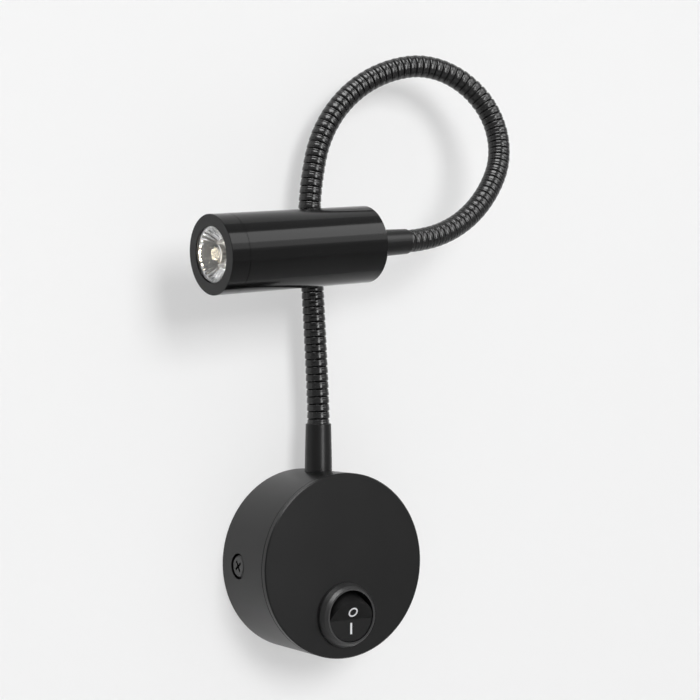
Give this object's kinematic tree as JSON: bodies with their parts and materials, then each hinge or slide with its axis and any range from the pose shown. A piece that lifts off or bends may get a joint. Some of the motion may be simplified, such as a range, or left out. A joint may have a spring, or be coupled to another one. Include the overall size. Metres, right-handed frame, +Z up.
{
  "type": "bedside wall reading lamp",
  "caption": "Wall reading lamp: a round switched base, a black ribbed gooseneck curled in a loop and a small cylindrical LED spot head with a clear lens.",
  "frame": {"origin": "centre of the wall plate's back face, midway between its two wall slots, on the wall's plane", "axes": "+Z up, +Y into the wall, so the lamp stands out towards -Y; +X to the right seen from the front"},
  "size_m": [0.1347, 0.0571, 0.2205],
  "materials": {
    "coat_satin": "satin",
    "coat_gloss": "gloss",
    "neck_black": "satin",
    "screw_black": "satin",
    "switch_frame": "satin",
    "switch_key": "satin",
    "mark_white": "matte",
    "clear_lens": "polished",
    "led_lit": "satin",
    "board_white": "satin",
    "bare_aluminium": "machined",
    "holder_black": "matte",
    "zinc_steel": "satin",
    "brass_part": "satin",
    "nylon": "matte",
    "driver_white": "matte",
    "board_green": "matte",
    "capacitor_sleeve": "satin",
    "ferrite": "matte",
    "rubber_black": "matte",
    "lead_jacket": "matte"
  },
  "bodies": {
    "base": {"base_housing": "coat_satin", "wall_plate": "zinc_steel", "side_screws": "screw_black", "inlet_grommet": "rubber_black", "terminal_block": "nylon", "terminal_screws": "brass_part", "earth_lug": "brass_part", "earth_screw": "brass_part", "switch_body": "switch_frame", "switch_terminals": "brass_part", "driver_case": "driver_white", "driver_lid": "driver_white", "driver_board": "board_green", "driver_capacitor": "capacitor_sleeve", "driver_transformer": "ferrite", "base_leads": "lead_jacket", "base_sleeve": "coat_satin", "base_nut": "zinc_steel", "neck_lead": "lead_jacket", "neck_link_01": "neck_black"},
    "rocker": {"switch_rocker": "switch_key", "rocker_marks": "mark_white", "switch_plunger": "nylon", "switch_spring": "zinc_steel"},
    "contact": {"switch_contact": "brass_part"},
    "neck_02": {"neck_link_02": "neck_black"},
    "neck_03": {"neck_link_03": "neck_black"},
    "neck_04": {"neck_link_04": "neck_black"},
    "neck_05": {"neck_link_05": "neck_black"},
    "neck_06": {"neck_link_06": "neck_black"},
    "neck_07": {"neck_link_07": "neck_black"},
    "neck_08": {"neck_link_08": "neck_black"},
    "neck_09": {"neck_link_09": "neck_black"},
    "neck_10": {"neck_link_10": "neck_black"},
    "neck_11": {"neck_link_11": "neck_black"},
    "neck_12": {"neck_link_12": "neck_black"},
    "neck_13": {"neck_link_13": "neck_black"},
    "neck_14": {"neck_link_14": "neck_black"},
    "neck_15": {"neck_link_15": "neck_black"},
    "neck_16": {"neck_link_16": "neck_black"},
    "neck_17": {"neck_link_17": "neck_black"},
    "neck_18": {"neck_link_18": "neck_black"},
    "neck_19": {"neck_link_19": "neck_black"},
    "neck_20": {"neck_link_20": "neck_black"},
    "neck_21": {"neck_link_21": "neck_black"},
    "neck_22": {"neck_link_22": "neck_black"},
    "neck_23": {"neck_link_23": "neck_black"},
    "neck_24": {"neck_link_24": "neck_black"},
    "neck_25": {"neck_link_25": "neck_black"},
    "head": {"neck_link_26": "neck_black", "head_sleeve": "coat_satin", "head_nut": "zinc_steel", "head_body": "coat_gloss", "head_ring": "coat_gloss", "lens": "clear_lens", "lens_holder": "holder_black", "led_board": "board_white", "led_emitter": "led_lit", "heat_sink": "bare_aluminium", "board_screws": "zinc_steel"}
  },
  "joints": [
    {"name": "rocker_pivot", "type": "hinge", "parent": "base", "child": "rocker", "pos_m": [0, -0.0289, -0.0175], "axis": [1, 0, 0], "range_deg": [-25, 0]},
    {"name": "contact_pivot", "type": "hinge", "parent": "base", "child": "contact", "pos_m": [0, -0.02225, -0.0175], "axis": [1, 0, 0], "range_deg": [0, 16]},
    {"name": "sway_01", "type": "hinge", "parent": "base", "child": "neck_02", "pos_m": [0, -0.0125, 0.0545], "axis": [0, 1, 0], "range_deg": [-15, 15], "deforming": ["neck_lead"]},
    {"name": "sway_02", "type": "hinge", "parent": "neck_02", "child": "neck_03", "pos_m": [-0.00053, -0.0125, 0.06539], "axis": [0, 1, 0], "range_deg": [-15, 15], "deforming": ["neck_lead"]},
    {"name": "tilt_03", "type": "hinge", "parent": "neck_03", "child": "neck_04", "pos_m": [-0.00112, -0.0125, 0.07627], "axis": [0.9984, 0, 0.0567], "range_deg": [0, 20], "deforming": ["neck_lead"]},
    {"name": "sway_04", "type": "hinge", "parent": "neck_04", "child": "neck_05", "pos_m": [-0.00177, -0.0125, 0.08715], "axis": [0, -1, 0], "range_deg": [-15, 15], "deforming": ["neck_lead"]},
    {"name": "tilt_05", "type": "hinge", "parent": "neck_05", "child": "neck_06", "pos_m": [-0.00247, -0.0125, 0.09803], "axis": [0.9977, 0, 0.0671], "range_deg": [0, 20], "deforming": ["neck_lead"]},
    {"name": "sway_06", "type": "hinge", "parent": "neck_06", "child": "neck_07", "pos_m": [-0.00323, -0.0125, 0.1089], "axis": [0, -1, 0], "range_deg": [-15, 15], "deforming": ["neck_lead"]},
    {"name": "tilt_07", "type": "hinge", "parent": "neck_07", "child": "neck_08", "pos_m": [-0.00405, -0.0125, 0.11977], "axis": [0.9997, 0, 0.0253], "range_deg": [0, 20], "deforming": ["neck_lead"]},
    {"name": "sway_08", "type": "hinge", "parent": "neck_08", "child": "neck_09", "pos_m": [-0.00378, -0.0125, 0.13067], "axis": [0, 1, 0], "range_deg": [-15, 15], "deforming": ["neck_lead"]},
    {"name": "sway_09", "type": "hinge", "parent": "neck_09", "child": "neck_10", "pos_m": [-0.00244, -0.0125, 0.14148], "axis": [0, -1, 0], "range_deg": [-15, 15], "deforming": ["neck_lead"]},
    {"name": "curl_10", "type": "hinge", "parent": "neck_10", "child": "neck_11", "pos_m": [-0.00002, -0.0125, 0.15211], "axis": [-0.1916, -0.9805, 0.0435], "range_deg": [-6, 13.35], "deforming": ["neck_lead"]},
    {"name": "curl_11", "type": "hinge", "parent": "neck_11", "child": "neck_12", "pos_m": [0.00473, -0.01299, 0.16191], "axis": [-0.2011, -0.9784, 0.0482], "range_deg": [-6, 13.32], "deforming": ["neck_lead"]},
    {"name": "curl_12", "type": "hinge", "parent": "neck_12", "child": "neck_13", "pos_m": [0.01157, -0.01398, 0.17034], "axis": [-0.2173, -0.9741, 0.0619], "range_deg": [-6, 13.27], "deforming": ["neck_lead"]},
    {"name": "curl_13", "type": "hinge", "parent": "neck_13", "child": "neck_14", "pos_m": [0.02009, -0.01546, 0.17698], "axis": [-0.2361, -0.9678, 0.0874], "range_deg": [-6, 13.19], "deforming": ["neck_lead"]},
    {"name": "curl_14", "type": "hinge", "parent": "neck_14", "child": "neck_15", "pos_m": [0.02982, -0.01743, 0.18148], "axis": [-0.2524, -0.9593, 0.1264], "range_deg": [-6, 13.09], "deforming": ["neck_lead"]},
    {"name": "curl_15", "type": "hinge", "parent": "neck_15", "child": "neck_16", "pos_m": [0.04022, -0.01988, 0.18363], "axis": [-0.2463, -0.965, 0.0906], "range_deg": [-0.87, 21.53], "deforming": ["neck_lead"]},
    {"name": "curl_16", "type": "hinge", "parent": "neck_16", "child": "neck_17", "pos_m": [0.05058, -0.0227, 0.18173], "axis": [-0.2255, -0.9556, 0.1898], "range_deg": [-1.07, 21.33], "deforming": ["neck_lead"]},
    {"name": "curl_17", "type": "hinge", "parent": "neck_17", "child": "neck_18", "pos_m": [0.05937, -0.02589, 0.17613], "axis": [-0.1613, -0.945, 0.2846], "range_deg": [-1.3, 21.1], "deforming": ["neck_lead"]},
    {"name": "curl_18", "type": "hinge", "parent": "neck_18", "child": "neck_19", "pos_m": [0.06534, -0.02944, 0.16773], "axis": [-0.2795, -0.9395, 0.1982], "range_deg": [-1.38, 21.02], "deforming": ["neck_lead"]},
    {"name": "curl_19", "type": "hinge", "parent": "neck_19", "child": "neck_20", "pos_m": [0.06783, -0.03233, 0.15752], "axis": [-0.1806, -0.9569, 0.2273], "range_deg": [-1.01, 21.39], "deforming": ["neck_lead"]},
    {"name": "curl_20", "type": "hinge", "parent": "neck_20", "child": "neck_21", "pos_m": [0.06634, -0.03456, 0.14695], "axis": [-0.1017, -0.9704, 0.219], "range_deg": [-0.74, 21.66], "deforming": ["neck_lead"]},
    {"name": "curl_21", "type": "hinge", "parent": "neck_21", "child": "neck_22", "pos_m": [0.061, -0.03612, 0.13758], "axis": [-0.0418, -0.9815, 0.1867], "range_deg": [-6, 11.92], "deforming": ["neck_lead"]},
    {"name": "curl_22", "type": "hinge", "parent": "neck_22", "child": "neck_23", "pos_m": [0.05381, -0.03735, 0.12948], "axis": [-0.0238, -0.985, 0.1712], "range_deg": [-6, 11.96], "deforming": ["neck_lead"]},
    {"name": "curl_23", "type": "hinge", "parent": "neck_23", "child": "neck_24", "pos_m": [0.04507, -0.03826, 0.12302], "axis": [-0.0131, -0.9875, 0.1571], "range_deg": [-6, 11.99], "deforming": ["neck_lead"]},
    {"name": "curl_24", "type": "hinge", "parent": "neck_24", "child": "neck_25", "pos_m": [0.03518, -0.03885, 0.11849], "axis": [-0.0083, -0.9891, 0.1468], "range_deg": [-6, 12.01], "deforming": ["neck_lead"]},
    {"name": "tilt_25", "type": "hinge", "parent": "neck_25", "child": "head", "pos_m": [0.02455, -0.03912, 0.1161], "axis": [-0.1573, 0, 0.9875], "range_deg": [-4, 16], "deforming": ["neck_lead"]}
  ],
  "couplings": [
    {"joint": "contact_pivot", "follows": "rocker_pivot", "ratio": -0.64}
  ]
}
